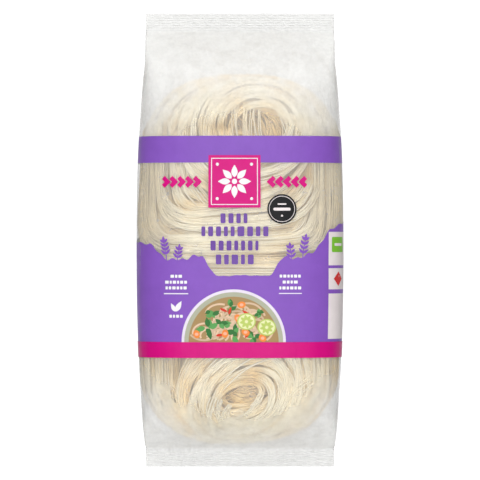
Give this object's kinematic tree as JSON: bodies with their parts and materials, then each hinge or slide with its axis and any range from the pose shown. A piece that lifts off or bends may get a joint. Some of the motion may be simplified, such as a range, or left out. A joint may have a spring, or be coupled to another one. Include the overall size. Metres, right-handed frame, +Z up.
{
  "type": "sealed film pack of dried rice vermicelli nests",
  "caption": "Clear side-gusseted film pack, crimp-sealed at both ends and filled with nests of dried rice vermicelli, with a plain purple and pink printed band.",
  "frame": {"origin": "under the middle of the pack, on the surface that it lies on", "axes": "+X to the right across the printed front, +Y from the bottom seal to the top seal, +Z up, out of the printed front"},
  "size_m": [0.1204, 0.265, 0.052],
  "materials": {
    "clear_film": "thin milky clear film, soft gloss",
    "dried_noodle": "dry pale cream rice noodle, slightly translucent",
    "purple_print": "opaque purple ink under film",
    "pink_print": "opaque deep pink ink under film",
    "white_print": "opaque white ink under film",
    "black_print": "opaque black ink under film",
    "picture_print": "printed food colours: broth, leaf green, orange"
  },
  "bodies": {
    "root": {"noodle_bag": "clear_film"}
  },
  "joints": []
}
